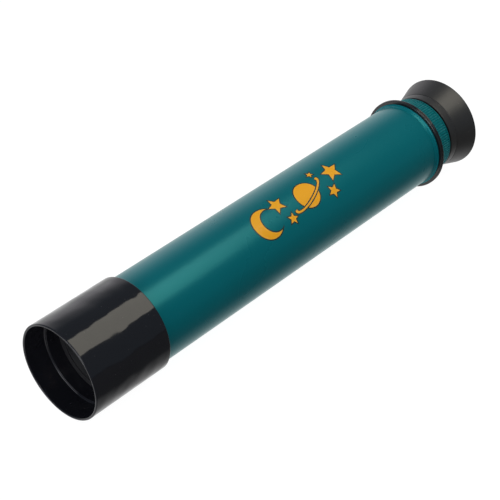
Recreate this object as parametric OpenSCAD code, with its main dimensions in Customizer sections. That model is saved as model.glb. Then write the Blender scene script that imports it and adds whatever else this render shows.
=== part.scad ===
// Hand-held spyglass with a twist focus.
// Every piece is drawn along +Z from the hood's front lip at z = 0, and placed() then lays the
// optical axis along +X, with the origin half way along the closed spyglass.

/* [Overall] */
// Length from the hood's lip to the eyecup's rim, with the eyepiece turned in
overall_len = 247; // [205:1:300]
// Outside diameter of the main tube
tube_d = 40; // [33:0.1:48]
// Wall of the main tube
tube_wall = 1.6; // [1.3:0.05:2]
// Radial gap between pieces that are pushed or glued together
fit_gap = 0.05; // [0.02:0.01:0.08]
// Radial gap between pieces that slide or turn in each other
run_gap = 0.05; // [0.02:0.01:0.08]

/* [Hood] */
// Length of the hood along the axis
hood_len = 39.8; // [33:0.1:48]
// Wall of the hood where it grips the main tube
hood_wall = 1.55; // [1.2:0.05:2]
// Wall of the hood at its open lip
lip_wall = 1.1; // [0.9:0.05:1.4]
// Depth of the wide mouth, down to the step
mouth_depth = 10.5; // [8:0.1:13]
// Depth of the narrower throat between the step and the main tube
throat_len = 7.5; // [6:0.1:9]
// Ledge that the front end of the main tube stops against
stop_ledge = 0.6; // [0.4:0.05:0.8]

/* [Objective] */
// Wall of the lens cell around the lenses
cell_wall = 1.75; // [1.4:0.05:2.2]
// Thickness of the cell's front flange
cell_flange_t = 1.4; // [1.1:0.1:1.8]
// Width of the ledge that carries the lenses
lens_ledge = 1.5; // [1.2:0.1:1.9]
// Surface radius of the front of the crown lens
crown_front_r = 62; // [50:1:80]
// Surface radius that the crown and flint lenses share
crown_rear_r = 50; // [42:1:65]
// Edge thickness of the crown lens
crown_edge = 1.6; // [1.3:0.1:2]
// Centre thickness of the flint lens
flint_centre = 1.6; // [1.3:0.1:2]
// Air gap between the two lenses
lens_air = 0.3; // [0.2:0.05:0.4]
// Thickness of the threaded ring that holds the lenses
lens_ring_t = 2.2; // [1.8:0.1:2.7]
// Thickness of the rubber gasket under that ring
gasket_t = 0.4; // [0.3:0.05:0.6]
// Length of the cell behind the lenses
cell_tail = 4; // [3:0.1:5]

/* [Relay] */
// Length of the relay tube that turns the image upright
relay_len = 60; // [50:1:72]
// Outside diameter of the relay tube
relay_d = 22; // [18:0.1:26]
// Wall of the relay tube at its ends
relay_wall = 1.5; // [1.2:0.1:1.8]
// Space between the relay tube and the guide sleeve
relay_to_guide = 25; // [20:1:30]
// Surface radius of the relay lenses
relay_lens_r = 40; // [34:1:48]
// Edge thickness of the relay lenses
relay_edge = 1.5; // [1.2:0.1:1.8]

/* [Focus] */
// Travel of the eyepiece from one stop to the other
focus_travel = 7; // [5.8:0.1:8.4]
// Turn of the grip ring that gives the full travel, in degrees
focus_turn = 210; // [175:1:250]
// Length of the grip ring
grip_len = 9.55; // [8:0.05:11.5]
// How far the grip ring lies below the main tube's surface
grip_in = 1.3; // [1.1:0.05:1.5]
// Number of ribs round the grip ring
rib_count = 96; // [80:1:115]
// Height of the ribs
rib_h = 0.35; // [0.25:0.05:0.45]
// Wall of the cap's spigot
spigot_wall = 1.4; // [1.2:0.05:1.7]
// Wall of the cam barrel
cam_wall = 1.3; // [1.1:0.05:1.6]
// Wall of the guide sleeve
guide_wall = 1.25; // [1.1:0.05:1.5]
// Wall of the draw tube
draw_wall = 1.25; // [1.1:0.05:1.5]
// Diameter of the two drive pins
pin_d = 1.6; // [1.3:0.1:1.9]
// Thickness of the cap's flange
flange_t = 2; // [1.6:0.1:2.4]
// How far the cap's flange stands out past the main tube
flange_out = 2.3; // [1.9:0.1:2.7]

/* [Eyepiece] */
// Wall of the eyepiece cell around its lenses
eye_cell_wall = 1.9; // [1.6:0.05:2.3]
// Surface radius of the eyepiece lenses
eye_lens_r = 24; // [22:1:29]
// Edge thickness of the eyepiece lenses
eye_edge = 1.2; // [1:0.1:1.5]
// Air gap between the eyepiece lenses, on the axis
eye_air = 1; // [0.8:0.1:1.2]
// Radius of the field stop's opening
field_stop_r = 5.5; // [4.5:0.1:6.5]
// Length of the eyecup
eyecup_len = 15.3; // [13:0.1:18.3]
// How far the eyecup's rim stands out past its base
eyecup_flare = 3.45; // [2.9:0.05:4.1]
// Wall of the eyecup at its rim
eyecup_wall = 1.5; // [1.2:0.05:1.8]

/* [Hidden] */
$fn = 96;
lens_fn = 720;      // fine enough to keep the shallow lens curves true
over = 1;           // how far a cutting shape runs past the face that it cuts
hair = 0.001;       // overlap of two cutting shapes that would only touch

teal = [0.03, 0.36, 0.39];
black = [0.09, 0.09, 0.10];
dark_grey = [0.25, 0.25, 0.26];
glass = [0.75, 0.85, 0.95, 0.5];
steel = [0.7, 0.7, 0.72];

// How far a spherical surface drops between its axis and a given half width.
function sag(surface_r, half) = surface_r - sqrt(surface_r * surface_r - half * half);
// How far a lens surface stands proud of its own edge at the ledge that holds it.
function rise(surface_r, edge_r, seat_r) = sag(surface_r, edge_r) - sag(surface_r, seat_r);

// Main tube and hood
tube_r = tube_d / 2;
tube_in_r = tube_r - tube_wall;
hood_r = tube_r + fit_gap + hood_wall;
mouth_r = hood_r - lip_wall;
throat_r = tube_r - stop_ledge;
tube_z = mouth_depth + throat_len;
edge_round = 0.4;
bead_len = 2.2;     // rolled bead at the rear end of the main tube
bead_out = 0.85;
crease_r = 0.4;     // groove in front of that bead
crease_depth = 0.25;

// Rear end, from the main tube to the eyecup's rim
grip_r = tube_r - grip_in;
ring_gap = 0.25;    // between the cap's flange and the grip ring
barrel_tail = 0.1;  // cam barrel past the grip ring
clip_gap = 0.1;
clip_t = 0.7;
sleeve_tail = 0.2;  // guide sleeve past the clip
cup_gap = 0.2;      // between the guide sleeve and the eyecup
cup_z = overall_len - eyecup_len;
sleeve_end_z = cup_z - cup_gap;
clip_end_z = sleeve_end_z - sleeve_tail;
clip_z = clip_end_z - clip_t;
barrel_end_z = clip_z - clip_gap;
grip_end_z = barrel_end_z - barrel_tail;
grip_z = grip_end_z - grip_len;
flange_z = grip_z - ring_gap - flange_t;
tube_end_z = flange_z;

// Objective, from the front of its cell to the rear
cell_z = tube_z - cell_flange_t;
cell_r = tube_in_r - fit_gap;
cell_flange_r = throat_r - 2 * fit_gap;
lens_bore_r = cell_r - cell_wall;
lens_r = lens_bore_r - fit_gap;
clear_r = lens_r - lens_ledge;
ring_inset = 0.3;
ring_bevel = 0.9;
notch_w = 2;        // spanner notches in the objective ring
notch_depth = 0.8;
gasket_out = 0.2;   // from the clear opening out to the gasket
gasket_r = clear_r + gasket_out;
objective_ring_z = cell_z + ring_inset;
gasket_z = objective_ring_z + lens_ring_t;
crown_z = gasket_z + gasket_t + rise(crown_front_r, lens_r, gasket_r);
crown_end_z = crown_z + crown_edge;
flint_z = crown_end_z + lens_air;
flint_end_z = flint_z + sag(crown_rear_r, lens_r) + flint_centre;
cell_end_z = flint_end_z + cell_tail;
spacer_w = 1;
touch = 0.01;       // film between the spacer and each lens

// Rings that nest inside the main tube at its rear end, from the outside in
spigot_r = tube_in_r - fit_gap;
spigot_in_r = spigot_r - spigot_wall;
barrel_r = spigot_in_r - run_gap;
barrel_in_r = barrel_r - cam_wall;
guide_r = barrel_in_r - run_gap;
guide_in_r = guide_r - guide_wall;
draw_r = guide_in_r - run_gap;
draw_in_r = draw_r - draw_wall;

// Eyepiece, from the draw tube's flange to the front
lip_t = 1.05;       // eyecup's lip in front of that flange
draw_flange_t = 1.6;
draw_flange_w = 1.2;
draw_flange_r = guide_r + draw_flange_w;
draw_flange_z = cup_z + lip_t + fit_gap;
draw_end_z = draw_flange_z + draw_flange_t;
eye_cell_r = draw_in_r - fit_gap;
eye_bore_r = eye_cell_r - eye_cell_wall;
eye_r = eye_bore_r - fit_gap;
eye_ledge = 1.4;
eye_clear_r = eye_r - eye_ledge;
eye_shelf_t = 1.6;
eye_cell_tail = 0.8;
eye_cell_end_z = draw_end_z + eye_cell_tail;
eye_shelf_z = eye_cell_end_z - eye_shelf_t;
eye_rise = rise(eye_lens_r, eye_r, eye_clear_r);
eye_spacer_len = eye_air + 2 * sag(eye_lens_r, eye_clear_r);
eye_z = eye_shelf_z - eye_rise - eye_edge - touch;
eye_spacer_z = eye_z - eye_rise - eye_spacer_len - touch;
field_z = eye_spacer_z - eye_rise - eye_edge - touch;
eye_ring_t = 2;
eye_ring_z = field_z - eye_rise - eye_ring_t - touch;
field_stop_gap = 6.6;   // from the field lens forward to its stop
field_stop_t = 0.8;
field_stop_inset = 1;
field_stop_z = field_z - sag(eye_lens_r, eye_r) - field_stop_gap - field_stop_t;
eye_cell_z = field_stop_z - field_stop_inset;

// Rear cap, guide sleeve and cam barrel
web_t = 2;          // wall that joins the spigot to the guide sleeve
foot_t = 1.5;       // guide sleeve's flange, in front of that wall
foot_inset = 0.2;   // from the spigot's outside to that flange's
web_gap = 0.3;      // between that wall and the cam barrel
slot_wall = 1.1;    // cam barrel between its slots and the felt's groove
slot_lead = 1.8;    // cam barrel in front of its slots
felt_depth = 0.5;
felt_len = 1.6;
felt_z = tube_end_z - felt_len;
pin_r = pin_d / 2;
slot_r = pin_r + run_gap;
cam_slot_r = pin_r + 2 * run_gap;
cam_end_extra = 0.04;
cam_end_r = cam_slot_r + cam_end_extra;
cell_from_pins = 2.5;   // least space between the pins and the eyepiece cell
pin_z = min(felt_z - slot_wall - cam_end_r - focus_travel, eye_cell_z - cell_from_pins);
barrel_z = pin_z - cam_end_r - slot_lead;
spigot_z = barrel_z - web_gap - web_t;
foot_z = spigot_z - foot_t;
flange_r = tube_r + flange_out;
ridge_r = flange_t / 4;
seal_r = 0.4;       // half the thickness of the rubber seal round the spigot
seal_inset = 6;
seal_z = spigot_z + seal_inset;
screw_count = 3;
screw_r = 0.5;
screw_head_r = 0.95;
screw_head_t = 0.8;
screw_len = 2.9;
screw_slot_w = 0.24;
screw_slot_depth = 0.35;
screw_circle_r = (guide_r + spigot_r) / 2;
clip_depth = 0.5;   // groove in the guide sleeve that holds the clip
clip_inset = 1.1;   // from the grip ring's outside to the clip's
clip_r = grip_r - clip_inset;
clip_mouth = 24;    // opening of the clip, in degrees

// Grip ring
collar_len = 0.6;
rib_share = 0.55;   // part of each pitch that the rib's foot takes
rib_top_share = 0.3;
rib_drop = 0.08;    // from the collars' surface down to the tops of the ribs

// Drive pins and the slots that they run in
pin_short = 0.15;   // the pins stop short of the cam barrel's outside
pin_out_r = barrel_r - pin_short;
pin_head_w = 0.4;
pin_head_r = pin_r + pin_head_w;
pin_head_gap = 0.1; // between the pin heads and the draw tube
pin_head_t = 0.5;
cam_steps = 28;
pin_angles = [90, 270];

// Draw tube
draw_lead = 1;      // draw tube in front of the pin holes
draw_z = pin_z - pin_r - draw_lead;

// Eyecup
cup_front_in = 0.2;
cup_front_r = grip_r - cup_front_in;
cup_base_out = 0.05;
cup_base_r = grip_r + cup_base_out;
cup_base_len = 4;
cup_crease = 0.25;
cup_rim_r = cup_base_r + eyecup_flare;
cup_floor_t = 3.1;
cup_floor_z = draw_end_z + cup_floor_t;
cup_base_wall = 2.8;
cup_floor_r = cup_base_r - cup_base_wall;
cup_hole_out = 1.8; // from the eye lens's clear opening out to the cup's hole
cup_hole_r = eye_clear_r + cup_hole_out;
cup_chamfer = 0.35;

// Relay and baffles
relay_r = relay_d / 2;
relay_bore_r = relay_r - relay_wall;
relay_glass_r = relay_bore_r - fit_gap;
relay_ledge = 1.2;
relay_clear_r = relay_glass_r - relay_ledge;
relay_end_z = foot_z - relay_to_guide;
relay_z = relay_end_z - relay_len;
relay_rise = rise(relay_lens_r, relay_glass_r, relay_clear_r);
relay_ring_t = 2;
relay_ring_inset = 0.6;
relay_pocket = relay_ring_t + 2 * relay_rise + relay_edge + relay_ring_inset;
relay_stop_r = 3;
relay_stop_t = 0.8;
mount_t = 3;
mount_inset = 9;    // from each end of the relay tube to its mount
mount_rim = 1.2;
mount_hub = 1.2;
spoke_w = 2.4;
baffle_t = 0.8;
baffle_rim_len = 4;
front_baffle_gap = 32;
front_baffle_z = cell_end_z + front_baffle_gap;
front_baffle_in = 2.5;
front_baffle_r = clear_r - front_baffle_in;
rear_baffle_gap = 14;
rear_baffle_z = foot_z - rear_baffle_gap;
rear_baffle_r = relay_clear_r;

// Lays the optical axis along +X, with the origin half way along it.
module placed() {
    rotate([0, 90, 0])
        translate([0, 0, -overall_len / 2])
            children();
}

// Plain ring between two places on the axis.
module ring(z0, z1, out_r, in_r) {
    translate([0, 0, z0])
        difference() {
            cylinder(h = z1 - z0, r = out_r);
            translate([0, 0, -over])
                cylinder(h = z1 - z0 + 2 * over, r = in_r);
        }
}

// Area of a half section between the axis and a radius.
module band(z0, z1, r) {
    translate([0, z0])
        square([r, z1 - z0]);
}

// Takes the corner off a half section at (r, z): end is 1 for a rear edge and -1 for a front one.
module rounding(r, z, size, end) {
    translate([r, z])
        mirror([0, end < 0 ? 1 : 0])
            difference() {
                translate([-size, -size])
                    square(2 * size);
                translate([-size, -size])
                    circle(r = size);
            }
}

// Disc that a spherical surface is cut from, in the half section. The surface bows towards the
// front, or towards the rear, from its edge at z.
module front_bow(surface_r, edge_r, z) {
    translate([0, z - sag(surface_r, edge_r) + surface_r])
        circle(r = surface_r, $fn = lens_fn);
}

module rear_bow(surface_r, edge_r, z) {
    translate([0, z + sag(surface_r, edge_r) - surface_r])
        circle(r = surface_r, $fn = lens_fn);
}

// Lens that bows both ways from an edge of the given thickness.
module double_convex(z, edge_t, edge_r, front_r, rear_r) {
    color(glass)
        rotate_extrude()
            intersection() {
                band(z - sag(front_r, edge_r) - over, z + edge_t + sag(rear_r, edge_r) + over, edge_r);
                front_bow(front_r, edge_r, z);
                rear_bow(rear_r, edge_r, z + edge_t);
            }
}

// Sheet-metal baffle with a rim that grips the inside of the main tube.
module baffle(z, hole_r) {
    color(black)
        rotate_extrude()
            difference() {
                band(z, z + baffle_rim_len, tube_in_r - fit_gap);
                band(z - over, z + baffle_rim_len + over, hole_r);
                band(z + baffle_t, z + baffle_rim_len + over, tube_in_r - fit_gap - baffle_t);
            }
}

// Three-spoked wheel that centres the relay tube in the main tube.
module relay_mount(z) {
    rim_r = tube_in_r - fit_gap;
    hub_r = relay_r + fit_gap;
    color(black) {
        ring(z, z + mount_t, rim_r, rim_r - mount_rim);
        difference() {
            union() {
                ring(z, z + mount_t, hub_r + mount_hub, hub_r);
                for (angle = [0, 120, 240])
                    rotate([0, 0, angle])
                        translate([hub_r, -spoke_w / 2, z])
                            cube([rim_r - mount_rim / 2 - hub_r, spoke_w, mount_t]);
            }
            translate([0, 0, z - over])
                cylinder(h = mount_t + 2 * over, r = hub_r);
        }
    }
}

module hood() {
    color(black)
        placed()
            rotate_extrude()
                difference() {
                    union() {
                        band(lip_wall / 2, hood_len, hood_r);
                        translate([hood_r - lip_wall / 2, lip_wall / 2])
                            circle(r = lip_wall / 2);
                    }
                    band(-over, mouth_depth, mouth_r - lip_wall / 2);
                    band(lip_wall / 2, mouth_depth, mouth_r);
                    band(mouth_depth - over, tube_z + over, throat_r);
                    band(tube_z, hood_len + over, tube_r + fit_gap);
                    rounding(hood_r, hood_len, edge_round, 1);
                }
}

module main_tube() {
    bead_z = tube_end_z - bead_len;
    color(teal)
        placed()
            rotate_extrude()
                difference() {
                    union() {
                        band(tube_z, tube_end_z, tube_r);
                        polygon([
                            [tube_in_r, bead_z],
                            [tube_r, bead_z],
                            [tube_r + bead_out, tube_end_z - edge_round],
                            [tube_r + bead_out, tube_end_z],
                            [tube_in_r, tube_end_z]
                        ]);
                    }
                    band(tube_z - over, tube_end_z + over, tube_in_r);
                    rounding(tube_r + bead_out, tube_end_z, edge_round, 1);
                    translate([tube_r - crease_depth + crease_r, bead_z])
                        circle(r = crease_r);
                }
}

module objective_cell() {
    color(black)
        placed()
            rotate_extrude()
                difference() {
                    union() {
                        band(cell_z, tube_z, cell_flange_r);
                        band(tube_z - over / 2, cell_end_z, cell_r);
                    }
                    band(cell_z - over, flint_end_z, lens_bore_r);
                    band(flint_end_z - over, cell_end_z + over, clear_r);
                }
}

module objective_ring() {
    color(black)
        placed()
            difference() {
                rotate_extrude()
                    polygon([
                        [clear_r + ring_bevel, objective_ring_z],
                        [lens_r, objective_ring_z],
                        [lens_r, gasket_z],
                        [clear_r, gasket_z]
                    ]);
                translate([-lens_r - over, -notch_w / 2, objective_ring_z - over])
                    cube([2 * (lens_r + over), notch_w, notch_depth + over]);
            }
}

module objective_gasket() {
    color(dark_grey)
        placed()
            ring(gasket_z, gasket_z + gasket_t - touch, lens_r, gasket_r);
}

module crown_lens() {
    placed()
        double_convex(crown_z, crown_edge, lens_r, crown_front_r, crown_rear_r);
}

// Thin washer that follows the curve of both lenses.
module objective_spacer() {
    color(dark_grey)
        placed()
            rotate_extrude()
                difference() {
                    intersection() {
                        translate([lens_r - spacer_w, crown_end_z - over])
                            square([spacer_w, lens_air + 2 * over]);
                        rear_bow(crown_rear_r, lens_r, flint_z - touch);
                    }
                    rear_bow(crown_rear_r, lens_r, crown_end_z + touch);
                }
}

module flint_lens() {
    color(glass)
        placed()
            rotate_extrude()
                difference() {
                    band(flint_z, flint_end_z, lens_r);
                    rear_bow(crown_rear_r, lens_r, flint_z);
                }
}

module front_baffle() {
    placed()
        baffle(front_baffle_z, front_baffle_r);
}

module rear_baffle() {
    placed()
        baffle(rear_baffle_z, rear_baffle_r);
}

module relay_tube() {
    color(black)
        placed()
            difference() {
                translate([0, 0, relay_z])
                    cylinder(h = relay_len, r = relay_r);
                translate([0, 0, relay_z - over])
                    cylinder(h = relay_len + 2 * over, r = relay_clear_r);
                translate([0, 0, relay_z - over])
                    cylinder(h = relay_pocket + over, r = relay_bore_r);
                translate([0, 0, relay_end_z - relay_pocket])
                    cylinder(h = relay_pocket + over, r = relay_bore_r);
                // seat for the stop, reached from the front
                translate([0, 0, relay_z - over])
                    cylinder(h = relay_len / 2 + over, r = relay_clear_r + relay_ledge / 2);
            }
}

module relay_mount_front() {
    placed()
        relay_mount(relay_z + mount_inset);
}

module relay_mount_rear() {
    placed()
        relay_mount(relay_end_z - mount_inset - mount_t);
}

module relay_front_lens() {
    placed()
        double_convex(relay_z + relay_pocket - relay_rise - relay_edge - touch, relay_edge,
                      relay_glass_r, relay_lens_r, relay_lens_r);
}

module relay_rear_lens() {
    placed()
        double_convex(relay_end_z - relay_pocket + relay_rise + touch, relay_edge,
                      relay_glass_r, relay_lens_r, relay_lens_r);
}

module relay_front_ring() {
    end_z = relay_z + relay_pocket - 2 * relay_rise - relay_edge - 2 * touch;
    color(black)
        placed()
            ring(end_z - relay_ring_t, end_z, relay_glass_r, relay_clear_r);
}

module relay_rear_ring() {
    start_z = relay_end_z - relay_pocket + 2 * relay_rise + relay_edge + 2 * touch;
    color(black)
        placed()
            ring(start_z, start_z + relay_ring_t, relay_glass_r, relay_clear_r);
}

module relay_stop() {
    color(black)
        placed()
            ring(relay_z + relay_len / 2 - relay_stop_t, relay_z + relay_len / 2,
                 relay_clear_r + relay_ledge / 2 - fit_gap, relay_stop_r);
}

// Spigot, flange with two round ridges, and the wall that the guide sleeve is screwed to.
module rear_cap() {
    flange_end_z = flange_z + flange_t;
    color(black)
        placed()
            difference() {
                rotate_extrude()
                    difference() {
                        union() {
                            band(spigot_z, flange_z + over / 2, spigot_r);
                            band(flange_z, flange_end_z, flange_r - ridge_r);
                            for (z = [flange_z + ridge_r, flange_end_z - ridge_r])
                                translate([flange_r - ridge_r, z])
                                    circle(r = ridge_r);
                        }
                        band(spigot_z - over, flange_end_z + over, guide_r + fit_gap);
                        band(spigot_z + web_t, flange_end_z + over, spigot_in_r);
                        translate([spigot_r - 2 * seal_r + fit_gap, seal_z - seal_r - fit_gap])
                            square([2 * seal_r, 2 * (seal_r + fit_gap)]);
                    }
                for (k = [0 : screw_count - 1])
                    screw_hole(k, spigot_z - over, screw_len + over);
            }
}

module screw_hole(k, z, h) {
    rotate([0, 0, k * 360 / screw_count])
        translate([screw_circle_r, 0, z])
            cylinder(h = h, r = screw_r + fit_gap);
}

module cap_seal() {
    color(dark_grey)
        placed()
            rotate_extrude()
                translate([tube_in_r - seal_r, seal_z])
                    circle(r = seal_r - touch);
}

// Sleeve with a foot, two straight slots and a groove for the clip.
module guide_sleeve() {
    foot_r = spigot_r - foot_inset;
    color(black)
        placed()
            difference() {
                rotate_extrude()
                    difference() {
                        union() {
                            band(foot_z, spigot_z, foot_r);
                            band(spigot_z - over / 2, sleeve_end_z, guide_r);
                        }
                        band(foot_z - over, sleeve_end_z + over, guide_in_r);
                        translate([guide_r - clip_depth, clip_z - fit_gap])
                            square([2 * clip_depth, clip_t + 2 * fit_gap]);
                    }
                for (k = [0 : screw_count - 1])
                    screw_hole(k, foot_z - over, foot_t + 2 * over);
                for (angle = pin_angles)
                    rotate([0, 0, angle]) {
                        for (z = [pin_z, pin_z + focus_travel])
                            radial(z, slot_r, guide_in_r - over, guide_r + over);
                        translate([guide_in_r - over, -slot_r, pin_z])
                            cube([guide_wall + 2 * over, 2 * slot_r, focus_travel]);
                    }
            }
}

// Round bar that stands out from the axis at a place along it.
module radial(z, r, from_r, to_r) {
    translate([from_r, 0, z])
        rotate([0, 90, 0])
            cylinder(h = to_r - from_r, r = r);
}

module guide_screw(k) {
    color(steel)
        placed()
            rotate([0, 0, k * 360 / screw_count])
                translate([screw_circle_r, 0, foot_z])
                    difference() {
                        union() {
                            cylinder(h = screw_len + foot_t - over, r = screw_r);
                            translate([0, 0, -screw_head_t])
                                cylinder(h = screw_head_t, r = screw_head_r);
                        }
                        translate([-screw_head_r, -screw_slot_w / 2, -screw_head_t - over])
                            cube([2 * screw_head_r, screw_slot_w, over + screw_slot_depth]);
                    }
}

// Split ring that snaps into the guide sleeve's groove and keeps the cam barrel on.
module barrel_clip() {
    color(black)
        placed()
            difference() {
                ring(clip_z, clip_end_z, clip_r, guide_r - clip_depth + fit_gap);
                translate([0, 0, clip_z - over])
                    linear_extrude(clip_t + 2 * over)
                        polygon([
                            [0, 0],
                            [-2 * clip_r, -2 * clip_r * tan(clip_mouth / 2)],
                            [-2 * clip_r, 2 * clip_r * tan(clip_mouth / 2)]
                        ]);
            }
}

// Outline of the ribs, one trapezoid a pitch.
function rib_outline() = [
    for (k = [0 : rib_count - 1], corner = [[-rib_share, 0], [-rib_top_share, 1],
                                            [rib_top_share, 1], [rib_share, 0]])
        let (angle = (k + corner[0] / 2) * 360 / rib_count,
             r = grip_r - rib_drop + (corner[1] - 1) * rib_h)
            [r * cos(angle), r * sin(angle)]
];

module grip_ring() {
    color(teal)
        placed()
            difference() {
                union() {
                    translate([0, 0, grip_z])
                        linear_extrude(grip_len)
                            polygon(rib_outline());
                    translate([0, 0, grip_z])
                        cylinder(h = collar_len, r = grip_r);
                    translate([0, 0, grip_end_z - collar_len])
                        cylinder(h = collar_len, r = grip_r);
                }
                translate([0, 0, grip_z - over])
                    cylinder(h = grip_len + 2 * over, r = barrel_r + fit_gap);
            }
}

// Four corners of the cam slot at one step of its helix, inside and outside the barrel's wall.
function cam_corners(k) =
    let (angle = -focus_turn * k / cam_steps,
         z = pin_z + focus_travel * k / cam_steps,
         low_r = barrel_in_r - over / 2,
         high_r = barrel_r + over / 2)
    [
        for (corner = [[low_r, -1], [high_r, -1], [high_r, 1], [low_r, 1]])
            [corner[0] * cos(angle), corner[0] * sin(angle), z + corner[1] * cam_slot_r]
    ];

module cam_helix() {
    points = [for (k = [0 : cam_steps]) each cam_corners(k)];
    last = 4 * cam_steps;
    sides = [
        for (k = [0 : cam_steps - 1], c = [0 : 3])
            let (a = 4 * k + c,
                 b = 4 * k + (c + 1) % 4)
            each [[a, b + 4, b], [a, a + 4, b + 4]]
    ];
    ends = [[0, 2, 3], [0, 1, 2], [last, last + 2, last + 1], [last, last + 3, last + 2]];
    polyhedron(points = points, faces = concat(sides, ends));
}

// Barrel with two helical slots: a turn of the barrel pushes the pins along the straight slots.
module cam_barrel() {
    color(black)
        placed()
            difference() {
                rotate_extrude()
                    difference() {
                        band(barrel_z, barrel_end_z, barrel_r);
                        band(barrel_z - over, barrel_end_z + over, barrel_in_r);
                        translate([barrel_r - felt_depth, felt_z])
                            square([2 * felt_depth, felt_len]);
                    }
                for (angle = pin_angles)
                    rotate([0, 0, angle]) {
                        cam_helix();
                        radial(pin_z, cam_end_r, barrel_in_r - over, barrel_r + over);
                        rotate([0, 0, -focus_turn])
                            radial(pin_z + focus_travel, cam_end_r,
                                   barrel_in_r - over, barrel_r + over);
                    }
            }
}

module damping_ring() {
    color(dark_grey)
        placed()
            ring(felt_z + fit_gap, felt_z + felt_len - fit_gap, barrel_r, barrel_r - felt_depth + touch);
}

module draw_tube() {
    color(black)
        placed()
            difference() {
                rotate_extrude()
                    difference() {
                        union() {
                            band(draw_z, draw_end_z, draw_r);
                            band(draw_flange_z, draw_end_z, draw_flange_r);
                        }
                        band(draw_z - over, draw_end_z + over, draw_in_r);
                    }
                for (angle = pin_angles)
                    rotate([0, 0, angle])
                        radial(pin_z, pin_r + touch, draw_in_r - over, draw_r + over);
            }
}

module drive_pin(k) {
    head_out_r = draw_in_r - pin_head_gap;
    color(steel)
        placed()
            rotate([0, 0, pin_angles[k]]) {
                radial(pin_z, pin_r, head_out_r - pin_head_t, pin_out_r);
                radial(pin_z, pin_head_r, head_out_r - pin_head_t, head_out_r);
            }
}

module eyepiece_cell() {
    color(black)
        placed()
            rotate_extrude()
                difference() {
                    band(eye_cell_z, eye_cell_end_z, eye_cell_r);
                    band(eye_cell_z - over, eye_shelf_z, eye_bore_r);
                    band(eye_shelf_z - over, eye_cell_end_z + over, eye_clear_r);
                }
}

module field_stop() {
    color(black)
        placed()
            ring(field_stop_z, field_stop_z + field_stop_t, eye_r, field_stop_r);
}

module eyepiece_ring() {
    color(black)
        placed()
            ring(eye_ring_z, eye_ring_z + eye_ring_t, eye_r, eye_clear_r);
}

module field_lens() {
    placed()
        double_convex(field_z, eye_edge, eye_r, eye_lens_r, eye_lens_r);
}

module eyepiece_spacer() {
    color(black)
        placed()
            ring(eye_spacer_z, eye_spacer_z + eye_spacer_len, eye_r, eye_clear_r);
}

module eye_lens() {
    placed()
        double_convex(eye_z, eye_edge, eye_r, eye_lens_r, eye_lens_r);
}

// Soft cup with a shallow crease round its base, a round rim and a lip behind the draw tube's flange.
module eyecup() {
    crease_z = cup_z + cup_base_len;
    rim_round = eyecup_wall / 2;
    rim_z = overall_len - rim_round;
    color(dark_grey)
        placed()
            rotate_extrude()
                difference() {
                    union() {
                        polygon([
                            [0, cup_z],
                            [cup_front_r - cup_chamfer, cup_z],
                            [cup_front_r, cup_z + cup_chamfer],
                            [cup_base_r, crease_z - cup_crease],
                            [cup_base_r - cup_crease, crease_z],
                            [cup_base_r, crease_z + cup_crease],
                            [cup_rim_r, rim_z],
                            [0, rim_z]
                        ]);
                        translate([cup_rim_r - rim_round, rim_z])
                            circle(r = rim_round);
                    }
                    polygon([
                        [0, cup_floor_z],
                        [cup_floor_r, cup_floor_z],
                        [cup_rim_r - eyecup_wall, rim_z],
                        [cup_rim_r - eyecup_wall, rim_z + hair],
                        [0, rim_z + hair]
                    ]);
                    band(rim_z, overall_len + over, cup_rim_r - rim_round);
                    band(cup_z - over, cup_floor_z + over, cup_hole_r);
                    band(cup_z - over, eye_cell_end_z + fit_gap, eye_cell_r + fit_gap);
                    band(cup_z - over, draw_end_z, draw_r + fit_gap);
                    band(draw_flange_z - fit_gap, draw_end_z + fit_gap, draw_flange_r + fit_gap);
                }
}

hood();
main_tube();
objective_cell();
objective_ring();
objective_gasket();
crown_lens();
objective_spacer();
flint_lens();
front_baffle();
rear_baffle();
relay_tube();
relay_mount_front();
relay_mount_rear();
relay_front_lens();
relay_rear_lens();
relay_front_ring();
relay_rear_ring();
relay_stop();
rear_cap();
cap_seal();
guide_sleeve();
guide_screw(0);  // guide_screw_1
guide_screw(1);  // guide_screw_2
guide_screw(2);  // guide_screw_3
barrel_clip();
grip_ring();
cam_barrel();
damping_ring();
draw_tube();
drive_pin(0);  // drive_pin_1
drive_pin(1);  // drive_pin_2
eyepiece_cell();
field_stop();
eyepiece_ring();
field_lens();
eyepiece_spacer();
eye_lens();
eyecup();
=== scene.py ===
import math

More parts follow.
